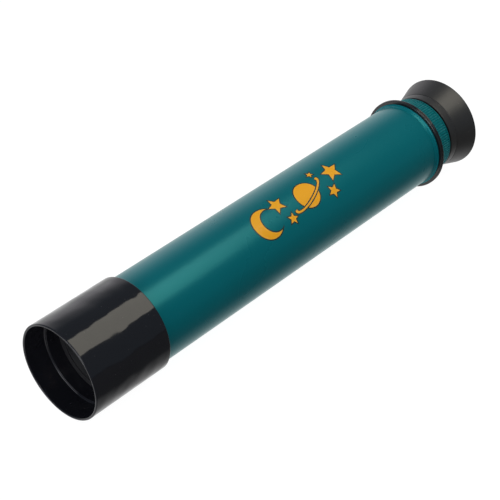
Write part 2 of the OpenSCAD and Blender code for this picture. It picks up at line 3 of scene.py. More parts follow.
import bmesh
import bpy
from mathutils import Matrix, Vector


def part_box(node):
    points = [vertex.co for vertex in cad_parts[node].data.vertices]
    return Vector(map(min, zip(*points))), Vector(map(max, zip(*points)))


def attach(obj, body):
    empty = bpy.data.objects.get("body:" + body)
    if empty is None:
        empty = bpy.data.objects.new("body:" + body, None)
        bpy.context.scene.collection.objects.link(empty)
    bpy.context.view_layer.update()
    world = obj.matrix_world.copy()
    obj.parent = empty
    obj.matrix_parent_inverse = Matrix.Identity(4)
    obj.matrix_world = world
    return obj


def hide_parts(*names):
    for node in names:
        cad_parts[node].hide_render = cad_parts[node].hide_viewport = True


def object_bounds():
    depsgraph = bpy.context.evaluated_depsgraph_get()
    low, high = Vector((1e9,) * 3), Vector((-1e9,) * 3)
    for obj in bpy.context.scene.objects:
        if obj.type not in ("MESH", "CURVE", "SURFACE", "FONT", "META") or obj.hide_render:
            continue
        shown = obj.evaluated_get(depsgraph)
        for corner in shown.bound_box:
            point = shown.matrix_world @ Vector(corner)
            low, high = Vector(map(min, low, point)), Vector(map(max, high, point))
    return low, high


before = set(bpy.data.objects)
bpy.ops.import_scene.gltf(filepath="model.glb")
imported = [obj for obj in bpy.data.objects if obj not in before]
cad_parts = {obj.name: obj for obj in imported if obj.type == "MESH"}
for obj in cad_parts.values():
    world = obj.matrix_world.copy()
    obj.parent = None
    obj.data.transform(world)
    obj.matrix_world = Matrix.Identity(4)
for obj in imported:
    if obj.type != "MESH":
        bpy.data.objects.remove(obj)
cadLow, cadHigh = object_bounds()
mm = 0.001
print("spyglass: frame loaded,", len(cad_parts), "CAD pieces")


cameraSettings = {
    "place": (-0.3690, -0.3258, 0.3688),
    "lookAt": (-0.0127, 0.0010, -0.0031),
    "lens": 100.87,
    "sensor": 36.0,
}
# the floor glows evenly for the camera, and from dark in front to bright behind for the rest
floorSettings = {
    "size": 6.0, "gap": 0.02 * mm, "shade": 0.12, "shadeLow": 0.97, "cloudScale": 3.0,
    "roughness": 0.9, "specular": 0.1, "glow": 0.97, "darkY": -0.040, "brightY": -0.012,
    "darkGlow": 0.04, "brightGlow": 0.95,
}
# a dim room with a bright haze low down behind the spyglass
worldSettings = {
    "dim": (0.20, 0.245, 0.29), "haze": (1.12, 1.10, 1.15), "towards": (0.50, 0.84, -0.20),
    "from": 0.50, "to": 0.97,
}
# place, aim, width and height of the panel, strength in watts, colour
lightSettings = {
    "topPanel": ((0.190, -0.17, 0.50), (0.190, -0.17, 0.0), 0.32, 0.43, 1.55, (1.0, 0.94, 0.80)),
    "sideFill": ((-0.70, -0.55, 0.75), (0.0, 0.0, 0.0), 0.55, 0.55, 1.8, (1.0, 1.0, 1.0)),
    "frontPanel": ((-1.10, 0.05, 0.18), (0.0, 0.0, 0.0), 0.80, 0.50, 5.5, (0.95, 0.93, 1.0)),
}


def feed(tree, socket, value):
    if isinstance(value, bpy.types.NodeSocket):
        tree.links.new(value, socket)
    else:
        socket.default_value = value


def addNode(tree, kind, inputs=None, **settings):
    node = tree.nodes.new(kind)
    for name, value in settings.items():
        setattr(node, name, value)
    for name, value in (inputs or {}).items():
        feed(tree, node.inputs[name], value)
    return node


def calc(tree, operation, first, second=0.0, third=0.0):
    node = addNode(tree, "ShaderNodeMath", {0: first, 1: second, 2: third}, operation=operation)
    return node.outputs[0]


def mixColours(tree, share, first, second):
    # sockets 6 and 7 take the two colours, and output 2 gives the mixed one
    node = addNode(tree, "ShaderNodeMix", {0: share, 6: first, 7: second}, data_type="RGBA")
    return node.outputs[2]


def wholeNumber(tree, operation, first, second):
    node = addNode(tree, "FunctionNodeIntegerMath", {0: first, 1: second}, operation=operation)
    return node.outputs[0]


def newTree(name, kind, inputs, outputs):
    tree = bpy.data.node_groups.new(name, kind)
    for socketName, socketKind, value in inputs:
        socket = tree.interface.new_socket(socketName, in_out="INPUT", socket_type=socketKind)
        if value is not None:
            socket.default_value = value
    for socketName, socketKind in outputs:
        tree.interface.new_socket(socketName, in_out="OUTPUT", socket_type=socketKind)
    return tree, tree.nodes.new("NodeGroupInput"), tree.nodes.new("NodeGroupOutput")


def aimAt(thing, place, target):
    thing.location = place
    direction = Vector(target) - Vector(place)
    thing.rotation_euler = direction.to_track_quat("-Z", "Y").to_euler()


def makeCamera():
    data = bpy.data.cameras.new("packshotCamera")
    data.lens = cameraSettings["lens"]
    data.sensor_width = cameraSettings["sensor"]
    camera = bpy.data.objects.new("packshotCamera", data)
    bpy.context.scene.collection.objects.link(camera)
    aimAt(camera, cameraSettings["place"], cameraSettings["lookAt"])
    bpy.context.scene.camera = camera


def makeLights():
    for name, (place, target, width, height, strength, colour) in lightSettings.items():
        data = bpy.data.lights.new(name, "AREA")
        data.shape = "RECTANGLE"
        data.size = width
        data.size_y = height
        data.energy = strength
        data.color = colour
        light = bpy.data.objects.new(name, data)
        bpy.context.scene.collection.objects.link(light)
        aimAt(light, place, target)


def makeWorld():
    world = bpy.data.worlds.new("studio")
    world.use_nodes = True
    tree = world.node_tree
    way = addNode(tree, "ShaderNodeTexCoord")
    towards = addNode(tree, "ShaderNodeVectorMath",
                      {0: way.outputs["Generated"], 1: Vector(worldSettings["towards"]).normalized()},
                      operation="DOT_PRODUCT")
    share = addNode(tree, "ShaderNodeMapRange",
                    {"Value": towards.outputs["Value"], "From Min": worldSettings["from"],
                     "From Max": worldSettings["to"]}, interpolation_type="SMOOTHSTEP")
    colour = mixColours(tree, share.outputs["Result"], (*worldSettings["dim"], 1.0),
                        (*worldSettings["haze"], 1.0))
    feed(tree, tree.nodes["Background"].inputs["Color"], colour)
    bpy.context.scene.world = world
    bpy.context.scene.view_settings.view_transform = "Standard"


def makeGrainGroup():
    # two sizes of unevenness in a moulded or painted skin
    tree, given, result = newTree(
        "surfaceGrain", "ShaderNodeTree",
        [("Fine Scale", "NodeSocketFloat", 4000.0), ("Fine Amount", "NodeSocketFloat", 0.5),
         ("Wave Scale", "NodeSocketFloat", 60.0), ("Wave Amount", "NodeSocketFloat", 0.5)],
        [("Height", "NodeSocketFloat")])
    place = addNode(tree, "ShaderNodeTexCoord")
    fine = addNode(tree, "ShaderNodeTexNoise", {"Vector": place.outputs["Object"],
                                                "Scale": given.outputs["Fine Scale"], "Detail": 3.0})
    wave = addNode(tree, "ShaderNodeTexNoise", {"Vector": place.outputs["Object"],
                                                "Scale": given.outputs["Wave Scale"], "Detail": 1.0})
    low = calc(tree, "MULTIPLY", fine.outputs["Fac"], given.outputs["Fine Amount"])
    both = calc(tree, "MULTIPLY_ADD", wave.outputs["Fac"], given.outputs["Wave Amount"], low)
    feed(tree, result.inputs["Height"], both)
    return tree


def makeMarksGroup():
    # hairline scratches and finger smudges, which show in the roughness
    tree, given, result = newTree(
        "handlingMarks", "ShaderNodeTree",
        [("Roughness", "NodeSocketFloat", 0.4), ("Smudge Scale", "NodeSocketFloat", 45.0),
         ("Smudge Amount", "NodeSocketFloat", 0.1), ("Scratch Scale", "NodeSocketFloat", 260.0),
         ("Scratch Amount", "NodeSocketFloat", 0.1)],
        [("Roughness", "NodeSocketFloat")])
    place = addNode(tree, "ShaderNodeTexCoord")
    smudge = addNode(tree, "ShaderNodeTexNoise",
                     {"Vector": place.outputs["Object"], "Scale": given.outputs["Smudge Scale"],
                      "Detail": 4.0, "Distortion": 0.6})
    centred = calc(tree, "SUBTRACT", smudge.outputs["Fac"], 0.5)
    # long thin cells, turned a little off the axis
    turned = addNode(tree, "ShaderNodeMapping",
                     {"Vector": place.outputs["Object"], "Rotation": (0.2, 0.5, 0.9),
                      "Scale": (0.06, 1.0, 1.0)})
    cells = addNode(tree, "ShaderNodeTexVoronoi",
                    {"Vector": turned.outputs["Vector"], "Scale": given.outputs["Scratch Scale"]},
                    feature="DISTANCE_TO_EDGE")
    patches = addNode(tree, "ShaderNodeTexNoise",
                      {"Vector": place.outputs["Object"], "Scale": 90.0, "Detail": 2.0})
    thin = addNode(tree, "ShaderNodeMapRange",
                   {"Value": cells.outputs["Distance"], "From Min": 0.0, "From Max": 0.025,
                    "To Min": 1.0, "To Max": 0.0})
    rare = addNode(tree, "ShaderNodeMapRange",
                   {"Value": patches.outputs["Fac"], "From Min": 0.58, "From Max": 0.70})
    scratches = calc(tree, "MULTIPLY", thin.outputs["Result"], rare.outputs["Result"])
    rougher = calc(tree, "MULTIPLY_ADD", centred, given.outputs["Smudge Amount"],
                   given.outputs["Roughness"])
    feed(tree, result.inputs["Roughness"],
         calc(tree, "MULTIPLY_ADD", scratches, given.outputs["Scratch Amount"], rougher))
    return tree


dustColour = (0.62, 0.60, 0.57, 1.0)


def makeWearGroup():
    # corners rub a little lighter, and dust settles in a few specks
    tree, given, result = newTree(
        "wearAndDust", "ShaderNodeTree",
        [("Colour", "NodeSocketColor", (0.1, 0.1, 0.1, 1.0)),
         ("Worn Colour", "NodeSocketColor", (0.3, 0.3, 0.3, 1.0)),
         ("Wear", "NodeSocketFloat", 0.3), ("Dust", "NodeSocketFloat", 0.2),
         ("Mottle", "NodeSocketFloat", 0.1)],
        [("Colour", "NodeSocketColor")])
    place = addNode(tree, "ShaderNodeTexCoord")
    geometry = addNode(tree, "ShaderNodeNewGeometry")
    corner = addNode(tree, "ShaderNodeMapRange",
                     {"Value": geometry.outputs["Pointiness"], "From Min": 0.53, "From Max": 0.62})
    breakUp = addNode(tree, "ShaderNodeTexNoise",
                      {"Vector": place.outputs["Object"], "Scale": 700.0, "Detail": 4.0})
    uneven = addNode(tree, "ShaderNodeMapRange",
                     {"Value": breakUp.outputs["Fac"], "From Min": 0.42, "From Max": 0.66})
    worn = calc(tree, "MULTIPLY", corner.outputs["Result"], uneven.outputs["Result"])
    wornShare = calc(tree, "MULTIPLY", worn, given.outputs["Wear"])
    specks = addNode(tree, "ShaderNodeTexVoronoi",
                     {"Vector": place.outputs["Object"], "Scale": 420.0, "Randomness": 1.0})
    dot = addNode(tree, "ShaderNodeMapRange",
                  {"Value": specks.outputs["Distance"], "From Min": 0.03, "From Max": 0.07,
                   "To Min": 1.0, "To Max": 0.0})
    dustShare = calc(tree, "MULTIPLY", dot.outputs["Result"], given.outputs["Dust"])
    cloud = addNode(tree, "ShaderNodeTexNoise",
                    {"Vector": place.outputs["Object"], "Scale": 38.0, "Detail": 5.0})
    cloudShare = calc(tree, "MULTIPLY", calc(tree, "SUBTRACT", cloud.outputs["Fac"], 0.5),
                      given.outputs["Mottle"])
    lighter = addNode(tree, "ShaderNodeHueSaturation",
                      {"Color": given.outputs["Colour"], "Value": calc(tree, "ADD", cloudShare, 1.0)})
    wornMix = mixColours(tree, wornShare, lighter.outputs["Color"], given.outputs["Worn Colour"])
    feed(tree, result.inputs["Colour"], mixColours(tree, dustShare, wornMix, dustColour))
    return tree


effects = {"grain": makeGrainGroup(), "marks": makeMarksGroup(), "wear": makeWearGroup()}


# what a finish has unless it says otherwise
commonLook = {"gloss": 0.5, "tint": (1.0, 1.0, 1.0), "metallic": 0.0}
# fine and wave each hold the scale and the amount of one size of unevenness
finishes = {
    "hoodGloss": {
        "colour": (0.0105, 0.0105, 0.0135), "worn": (0.06, 0.06, 0.065), "roughness": 0.09,
        "ior": 1.38, "fine": (2600.0, 0.001), "wave": (95.0, 1.0),
        "bump": 0.7, "bumpDepth": 0.80 * mm, "smudge": 0.05, "scratch": 0.10, "wear": 0.25,
        "dust": 0.10, "mottle": 0.2,
    },
    "tubeSatin": {
        "colour": (0.0010, 0.136, 0.164), "worn": (0.06, 0.26, 0.28), "roughness": 0.28,
        "ior": 1.5, "gloss": 0.38, "tint": (0.26, 1.0, 0.9), "metallic": 0.1,
        "fine": (5200.0, 1.0), "wave": (40.0, 0.3),
        "bump": 0.12, "bumpDepth": 0.03 * mm, "smudge": 0.05, "scratch": 0.02, "wear": 0.20,
        "dust": 0.06, "mottle": 0.10,
    },
    "ringSatin": {
        "colour": (0.0015, 0.155, 0.175), "worn": (0.06, 0.28, 0.30), "roughness": 0.36,
        "ior": 1.5, "gloss": 0.35, "tint": (0.30, 1.0, 1.0), "metallic": 0.2,
        "fine": (5200.0, 1.0), "wave": (60.0, 0.2),
        "bump": 0.10, "bumpDepth": 0.03 * mm, "smudge": 0.08, "scratch": 0.10, "wear": 0.55,
        "dust": 0.08, "mottle": 0.10,
    },
    "capSemiGloss": {
        "colour": (0.0080, 0.0070, 0.0082), "worn": (0.09, 0.085, 0.09), "roughness": 0.13,
        "ior": 1.52, "fine": (3000.0, 0.4), "wave": (80.0, 0.4),
        "bump": 0.06, "bumpDepth": 0.05 * mm, "smudge": 0.08, "scratch": 0.12, "wear": 0.45,
        "dust": 0.10, "mottle": 0.15,
    },
    "cupRubber": {
        "colour": (0.020, 0.0185, 0.0185), "worn": (0.11, 0.105, 0.10), "roughness": 0.42,
        "ior": 1.5, "fine": (4200.0, 1.0), "wave": (220.0, 0.5),
        "bump": 0.25, "bumpDepth": 0.04 * mm, "smudge": 0.12, "scratch": 0.05, "wear": 0.30,
        "dust": 0.16, "mottle": 0.20,
    },
    "innerMatt": {
        "colour": (0.010, 0.010, 0.011), "worn": (0.05, 0.05, 0.05), "roughness": 0.55,
        "ior": 1.45, "fine": (3600.0, 1.0), "wave": (120.0, 0.4),
        "bump": 0.18, "bumpDepth": 0.04 * mm, "smudge": 0.08, "scratch": 0.05, "wear": 0.20,
        "dust": 0.06, "mottle": 0.15,
    },
    "sealRubber": {
        "colour": (0.012, 0.012, 0.012), "worn": (0.05, 0.05, 0.05), "roughness": 0.50,
        "ior": 1.5, "fine": (5000.0, 0.8), "wave": (300.0, 0.4),
        "bump": 0.15, "bumpDepth": 0.03 * mm, "smudge": 0.05, "scratch": 0.0, "wear": 0.0,
        "dust": 0.10, "mottle": 0.20,
    },
    "pressedFelt": {
        "colour": (0.045, 0.044, 0.043), "worn": (0.10, 0.10, 0.10), "roughness": 0.95,
        "ior": 1.4, "fine": (7000.0, 1.0), "wave": (1500.0, 0.9),
        "bump": 0.8, "bumpDepth": 0.08 * mm, "smudge": 0.0, "scratch": 0.0, "wear": 0.2,
        "dust": 0.2, "mottle": 0.35,
    },
    "brightSteel": {
        "colour": (0.56, 0.56, 0.57), "worn": (0.75, 0.75, 0.76), "roughness": 0.24,
        "ior": 1.5, "metallic": 1.0, "fine": (6000.0, 0.5), "wave": (400.0, 0.3),
        "bump": 0.08, "bumpDepth": 0.02 * mm, "smudge": 0.10, "scratch": 0.25, "wear": 0.5,
        "dust": 0.0, "mottle": 0.08,
    },
    "printOrange": {
        "colour": (0.95, 0.42, 0.018), "worn": (0.95, 0.62, 0.30), "roughness": 0.38,
        "ior": 1.48, "gloss": 0.3, "tint": (1.0, 0.8, 0.4),
        "fine": (6500.0, 1.0), "wave": (260.0, 0.4),
        "bump": 0.10, "bumpDepth": 0.01 * mm, "smudge": 0.08, "scratch": 0.10, "wear": 0.2,
        "dust": 0.05, "mottle": 0.10,
    },
    "printEdge": {
        "colour": (0.0025, 0.022, 0.018), "worn": (0.02, 0.06, 0.05), "roughness": 0.45,
        "ior": 1.48, "fine": (6500.0, 1.0), "wave": (260.0, 0.4),
        "bump": 0.10, "bumpDepth": 0.01 * mm, "smudge": 0.08, "scratch": 0.0, "wear": 0.1,
        "dust": 0.0, "mottle": 0.10,
    },
}


def startMaterial(name, values):
    # a new material, whose shader gets the values that are the same all over
    material = bpy.data.materials.new(name)
    material.use_nodes = True
    shader = material.node_tree.nodes["Principled BSDF"]
    for socketName, value in values.items():
        shader.inputs[socketName].default_value = value
    return material, material.node_tree, shader


def makeFinish(name):
    look = {**commonLook, **finishes[name]}
    material, tree, shader = startMaterial(name, {
        "IOR": look["ior"], "Metallic": look["metallic"], "Specular IOR Level": look["gloss"],
        "Specular Tint": (*look["tint"], 1.0),
    })
    wear = addNode(tree, "ShaderNodeGroup", {
        "Colour": (*look["colour"], 1.0), "Worn Colour": (*look["worn"], 1.0),
        "Wear": look["wear"], "Dust": look["dust"], "Mottle": look["mottle"],
    }, node_tree=effects["wear"])
    marks = addNode(tree, "ShaderNodeGroup", {
        "Roughness": look["roughness"], "Smudge Amount": look["smudge"],
        "Scratch Amount": look["scratch"],
    }, node_tree=effects["marks"])
    grain = addNode(tree, "ShaderNodeGroup", {
        "Fine Scale": look["fine"][0], "Fine Amount": look["fine"][1],
        "Wave Scale": look["wave"][0], "Wave Amount": look["wave"][1],
    }, node_tree=effects["grain"])
    bump = addNode(tree, "ShaderNodeBump", {
        "Height": grain.outputs["Height"], "Strength": look["bump"], "Distance": look["bumpDepth"],
    })
    feed(tree, shader.inputs["Base Color"], wear.outputs["Colour"])
    feed(tree, shader.inputs["Roughness"], marks.outputs["Roughness"])
    feed(tree, shader.inputs["Normal"], bump.outputs["Normal"])
    return material


glassSettings = {
    "colour": (0.97, 0.985, 1.0, 1.0), "ior": 1.52, "filmNanometres": 115.0, "filmIor": 1.38,
    "roughness": 0.015, "smudge": 0.02, "scratch": 0.02,
}


def makeGlass():
    material, tree, shader = startMaterial("coatedGlass", {
        "Base Color": glassSettings["colour"], "Transmission Weight": 1.0,
        "IOR": glassSettings["ior"], "Thin Film Thickness": glassSettings["filmNanometres"],
        "Thin Film IOR": glassSettings["filmIor"],
    })
    marks = addNode(tree, "ShaderNodeGroup", {
        "Roughness": glassSettings["roughness"], "Smudge Amount": glassSettings["smudge"],
        "Scratch Amount": glassSettings["scratch"],
    }, node_tree=effects["marks"])
    feed(tree, shader.inputs["Roughness"], marks.outputs["Roughness"])
    return material


def makeFloorFinish():
    material, tree, shader = startMaterial("paleFloor", {
        "Roughness": floorSettings["roughness"], "Specular IOR Level": floorSettings["specular"],
        "Emission Strength": 1.0,
    })
    shade = floorSettings["shade"]
    place = addNode(tree, "ShaderNodeTexCoord")
    cloud = addNode(tree, "ShaderNodeTexNoise",
                    {"Vector": place.outputs["Object"], "Scale": floorSettings["cloudScale"]})
    tint = addNode(tree, "ShaderNodeMapRange",
                   {"Value": cloud.outputs["Fac"], "To Min": floorSettings["shadeLow"] * shade,
                    "To Max": shade})
    across = addNode(tree, "ShaderNodeSeparateXYZ", {0: place.outputs["Object"]})
    glow = addNode(tree, "ShaderNodeMapRange",
                   {"Value": across.outputs["Y"], "From Min": floorSettings["darkY"],
                    "From Max": floorSettings["brightY"], "To Min": floorSettings["darkGlow"],
                    "To Max": floorSettings["brightGlow"]})
    path = addNode(tree, "ShaderNodeLightPath")
    seen = addNode(tree, "ShaderNodeMix", {0: path.outputs["Is Camera Ray"],
                                           2: glow.outputs["Result"], 3: floorSettings["glow"]})
    feed(tree, shader.inputs["Base Color"], tint.outputs["Result"])
    feed(tree, shader.inputs["Emission Color"], seen.outputs[0])
    return material


materials = {name: makeFinish(name) for name in finishes}
materials["coatedGlass"] = makeGlass()
materials["paleFloor"] = makeFloorFinish()
print("spyglass: materials made,", len(materials))


def makeFloor():
    half = floorSettings["size"] / 2
    height = cadLow.z - floorSettings["gap"]
    mesh = bpy.data.meshes.new("studioFloor")
    mesh.from_pydata([(-half, -half, height), (half, -half, height), (half, half, height),
                      (-half, half, height)], [], [(0, 1, 2, 3)])
    mesh.materials.append(materials["paleFloor"])
    floor = bpy.data.objects.new("studioFloor", mesh)
    bpy.context.scene.collection.objects.link(floor)


makeCamera()
makeLights()
makeWorld()
makeFloor()
print("spyglass: camera, lights and floor set")


# a supporting point stands off a rounding by the smaller of these two shares
supportSettings = {"leastFree": 0.02 * mm, "roundingShare": 0.5, "freeShare": 0.25}


def supportReach(rounding, free):
    return min(supportSettings["roundingShare"] * rounding, supportSettings["freeShare"] * free)


def outline(corners, steps=6):
    # corners are (x, radius, rounding), and the outline is spun round the optical axis later
    count = len(corners)
    spots = [Vector(corner[:2]) for corner in corners]
    arms = [(spots[k - 1] - spots[k], spots[(k + 1) % count] - spots[k]) for k in range(count)]
    reaches = [corner[2] / math.tan(before.angle(after) / 2)
               for corner, (before, after) in zip(corners, arms)]
    points = []
    for k, corner in enumerate(corners):
        rounding = corner[2]
        if rounding == 0:
            points.append(spots[k])
            continue
        before, after = arms[k]
        freeBefore = before.length - reaches[k] - reaches[k - 1]
        freeAfter = after.length - reaches[k] - reaches[(k + 1) % count]
        before.normalize()
        after.normalize()
        start = spots[k] + before * reaches[k]
        end = spots[k] + after * reaches[k]
        bisector = (before + after).normalized()
        centre = spots[k] + bisector * math.hypot(rounding, reaches[k])
        first = start - centre
        turn = first.angle_signed(end - centre)
        if freeBefore > supportSettings["leastFree"]:
            points.append(start + before * supportReach(rounding, freeBefore))
        for step in range(steps + 1):
            angle = -turn * step / steps
            spun = Vector((first.x * math.cos(angle) - first.y * math.sin(angle),
                           first.x * math.sin(angle) + first.y * math.cos(angle)))
            points.append(centre + spun)
        if freeAfter > supportSettings["leastFree"]:
            points.append(end + after * supportReach(rounding, freeAfter))
    return points


def makeTurnedTree():
    tree, given, result = newTree(
        "turnedPiece", "GeometryNodeTree",
        [("Outline", "NodeSocketGeometry", None), ("Segments", "NodeSocketInt", 192),
         ("Material", "NodeSocketMaterial", None), ("Bore Material", "NodeSocketMaterial", None),
         ("Bore Radius", "NodeSocketFloat", 0.0)],
        [("Geometry", "NodeSocketGeometry")])
    size = addNode(tree, "GeometryNodeAttributeDomainSize", {"Geometry": given.outputs["Outline"]},
                   component="MESH")
    rows = wholeNumber(tree, "ADD", size.outputs["Point Count"], 1)
    columns = wholeNumber(tree, "ADD", given.outputs["Segments"], 1)
    grid = addNode(tree, "GeometryNodeMeshGrid", {"Vertices X": rows, "Vertices Y": columns})
    index = addNode(tree, "GeometryNodeInputIndex").outputs[0]
    row = wholeNumber(tree, "MODULO", wholeNumber(tree, "DIVIDE_FLOOR", index, columns),
                      size.outputs["Point Count"])
    column = wholeNumber(tree, "MODULO", index, columns)
    here = addNode(tree, "GeometryNodeInputPosition").outputs[0]
    spot = addNode(tree, "GeometryNodeSampleIndex",
                   {"Geometry": given.outputs["Outline"], "Value": here, "Index": row},
                   data_type="FLOAT_VECTOR", domain="POINT")
    parts = addNode(tree, "ShaderNodeSeparateXYZ", {0: spot.outputs[0]})
    step = calc(tree, "DIVIDE", math.tau, given.outputs["Segments"])
    angle = calc(tree, "MULTIPLY", column, step)
    side = calc(tree, "MULTIPLY", parts.outputs["Z"], calc(tree, "COSINE", angle))
    top = calc(tree, "MULTIPLY", parts.outputs["Z"], calc(tree, "SINE", angle))
    spun = addNode(tree, "ShaderNodeCombineXYZ", {0: parts.outputs["X"], 1: side, 2: top})
    placed = addNode(tree, "GeometryNodeSetPosition",
                     {"Geometry": grid.outputs["Mesh"], "Position": spun.outputs[0]})
    closed = addNode(tree, "GeometryNodeMergeByDistance",
                     {"Geometry": placed.outputs[0], "Distance": 0.001 * mm})
    smooth = addNode(tree, "GeometryNodeSetShadeSmooth", {"Geometry": closed.outputs[0]})
    outside = addNode(tree, "GeometryNodeSetMaterial",
                      {"Geometry": smooth.outputs[0], "Material": given.outputs["Material"]})
    centre = addNode(tree, "ShaderNodeSeparateXYZ", {0: here})
    squares = calc(tree, "ADD", calc(tree, "POWER", centre.outputs["Y"], 2.0),
                   calc(tree, "POWER", centre.outputs["Z"], 2.0))
    inBore = calc(tree, "LESS_THAN", calc(tree, "SQRT", squares), given.outputs["Bore Radius"])
    inside = addNode(tree, "GeometryNodeSetMaterial",
                     {"Geometry": outside.outputs[0], "Selection": inBore,
                      "Material": given.outputs["Bore Material"]})
    feed(tree, result.inputs["Geometry"], inside.outputs[0])
    return tree


def makeRingOfTree():
    # copies of one shape, evenly spaced round the optical axis
    tree, given, result = newTree(
        "ringOfShapes", "GeometryNodeTree",
        [("Shape", "NodeSocketGeometry", None), ("Count", "NodeSocketInt", 96),
         ("Start Angle", "NodeSocketFloat", 0.0), ("Material", "NodeSocketMaterial", None)],
        [("Geometry", "NodeSocketGeometry")])
    points = addNode(tree, "GeometryNodePoints", {"Count": given.outputs["Count"]})
    index = addNode(tree, "GeometryNodeInputIndex").outputs[0]
    step = calc(tree, "DIVIDE", math.tau, given.outputs["Count"])
    angle = calc(tree, "MULTIPLY_ADD", index, step, given.outputs["Start Angle"])
    turn = addNode(tree, "ShaderNodeCombineXYZ", {0: angle})
    spin = addNode(tree, "FunctionNodeEulerToRotation", {0: turn.outputs[0]})
    copies = addNode(tree, "GeometryNodeInstanceOnPoints",
                     {"Points": points.outputs[0], "Instance": given.outputs["Shape"],
                      "Rotation": spin.outputs[0]})
    real = addNode(tree, "GeometryNodeRealizeInstances", {"Geometry": copies.outputs[0]})
    painted = addNode(tree, "GeometryNodeSetMaterial",
                      {"Geometry": real.outputs[0], "Material": given.outputs["Material"]})
    feed(tree, result.inputs["Geometry"], painted.outputs[0])
    return tree


def makeWrapTree():
    # lays a flat pattern round the tube: x runs along it and y is the arc length
    tree, given, result = newTree(
        "wrapRound", "GeometryNodeTree",
        [("Pattern", "NodeSocketGeometry", None), ("Radius", "NodeSocketFloat", 0.02),
         ("Centre Angle", "NodeSocketFloat", 0.0), ("Material", "NodeSocketMaterial", None)],
        [("Geometry", "NodeSocketGeometry")])
    here = addNode(tree, "GeometryNodeInputPosition").outputs[0]
    parts = addNode(tree, "ShaderNodeSeparateXYZ", {0: here})
    turned = calc(tree, "DIVIDE", parts.outputs["Y"], given.outputs["Radius"])
    angle = calc(tree, "SUBTRACT", given.outputs["Centre Angle"], turned)
    radius = calc(tree, "ADD", given.outputs["Radius"], parts.outputs["Z"])
    side = calc(tree, "MULTIPLY", radius, calc(tree, "COSINE", angle))
    top = calc(tree, "MULTIPLY", radius, calc(tree, "SINE", angle))
    spun = addNode(tree, "ShaderNodeCombineXYZ", {0: parts.outputs["X"], 1: side, 2: top})
    placed = addNode(tree, "GeometryNodeSetPosition",
                     {"Geometry": given.outputs["Pattern"], "Position": spun.outputs[0]})
    real = addNode(tree, "GeometryNodeRealizeInstances", {"Geometry": placed.outputs[0]})
    painted = addNode(tree, "GeometryNodeSetMaterial",
                      {"Geometry": real.outputs[0], "Material": given.outputs["Material"]})
    feed(tree, result.inputs["Geometry"], painted.outputs[0])
    return tree


trees = {"turned": makeTurnedTree(), "ringOf": makeRingOfTree(), "wrap": makeWrapTree()}


def runTree(name, mesh, tree, values):
    # lets a node tree work on a mesh, and keeps the result as a plain mesh of its own
    maker = bpy.data.objects.new(name + "Maker", mesh)
    bpy.context.scene.collection.objects.link(maker)
    modifier = maker.modifiers.new("nodes", "NODES")
    modifier.node_group = tree
    for item in tree.interface.items_tree:
        if item.in_out == "INPUT" and item.name in values:
            modifier[item.identifier] = values[item.name]
    graph = bpy.context.evaluated_depsgraph_get()
    graph.update()
    made = bpy.data.meshes.new_from_object(maker.evaluated_get(graph), depsgraph=graph)
    maker.modifiers.remove(modifier)
    bpy.data.objects.remove(maker)
    made.name = name
    return made


def faceOutward(mesh):
    shape = bmesh.new()
    shape.from_mesh(mesh)
    bmesh.ops.recalc_face_normals(shape, faces=shape.faces)
    shape.to_mesh(mesh)
    shape.free()


def placePiece(name, mesh, body, slot, *nodes):
    piece = bpy.data.objects.new(name, mesh)
    bpy.context.scene.collection.objects.link(piece)
    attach(piece, body)
    if nodes:
        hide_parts(*nodes)
    return piece


def turnedMesh(name, points, material, segments=192, boreMaterial=None, boreRadius=0.0):
    mesh = bpy.data.meshes.new(name + "Outline")
    mesh.from_pydata([(point.x, 0.0, point.y) for point in points], [], [])
    made = runTree(name, mesh, trees["turned"], {
        "Segments": segments,
        "Material": materials[material],
        "Bore Material": materials[boreMaterial or material],
        "Bore Radius": boreRadius,
    })
    faceOutward(made)
    return made


hoodSize = {
    "lipWall": 1.1 * mm, "mouthDepth": 10.5 * mm, "throatLength": 7.5 * mm,
    "ledge": 0.6 * mm, "socketGap": 0.05 * mm, "lipShare": 0.495, "rearRound": 0.4 * mm,
    "cornerRound": 0.18 * mm, "socketRound": 0.15 * mm, "ledgeRound": 0.1 * mm,
    "mouthFloorRound": 0.45 * mm, "mountToTube": 1.65 * mm,
}


def makeHood():
    low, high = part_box("hood")
    # the relay mount sits in the tube, so its edge gives the tube outside
    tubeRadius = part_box("relay_mount_front")[1].y + hoodSize["mountToTube"]
    lipRound = hoodSize["lipShare"] * hoodSize["lipWall"]
    mouthRadius = high.y - hoodSize["lipWall"]
    throatRadius = tubeRadius - hoodSize["ledge"]
    socketRadius = tubeRadius + hoodSize["socketGap"]
    stepX = low.x + hoodSize["mouthDepth"]
    ledgeX = stepX + hoodSize["throatLength"]
    corner = hoodSize["cornerRound"]
    points = outline([
        (low.x, high.y, lipRound),
        (high.x, high.y, hoodSize["rearRound"]),
        (high.x, socketRadius, hoodSize["socketRound"]),
        (ledgeX, socketRadius, hoodSize["ledgeRound"]),
        (ledgeX, throatRadius, corner),
        (stepX, throatRadius, corner),
        (stepX, mouthRadius, hoodSize["mouthFloorRound"]),
        (low.x, mouthRadius, lipRound),
    ], steps=8)
    mesh = turnedMesh("hoodShell", points, "hoodGloss", segments=256)
    placePiece("hoodShell", mesh, "barrel", "hood_black", "hood")


tubeSize = {
    "wall": 1.6 * mm, "beadLength": 2.2 * mm, "beadOut": 0.85 * mm, "creaseDepth": 0.22 * mm,
    "creaseHalf": 0.34 * mm, "creaseRound": 0.12 * mm, "shoulderOut": 0.05 * mm,
    "slopeBack": 0.85 * mm, "slopeOut": 0.30 * mm, "crestBack": 0.55 * mm,
    "shoulderRound": 0.2 * mm, "endRound": 0.15 * mm, "boreMargin": 0.05 * mm,
}


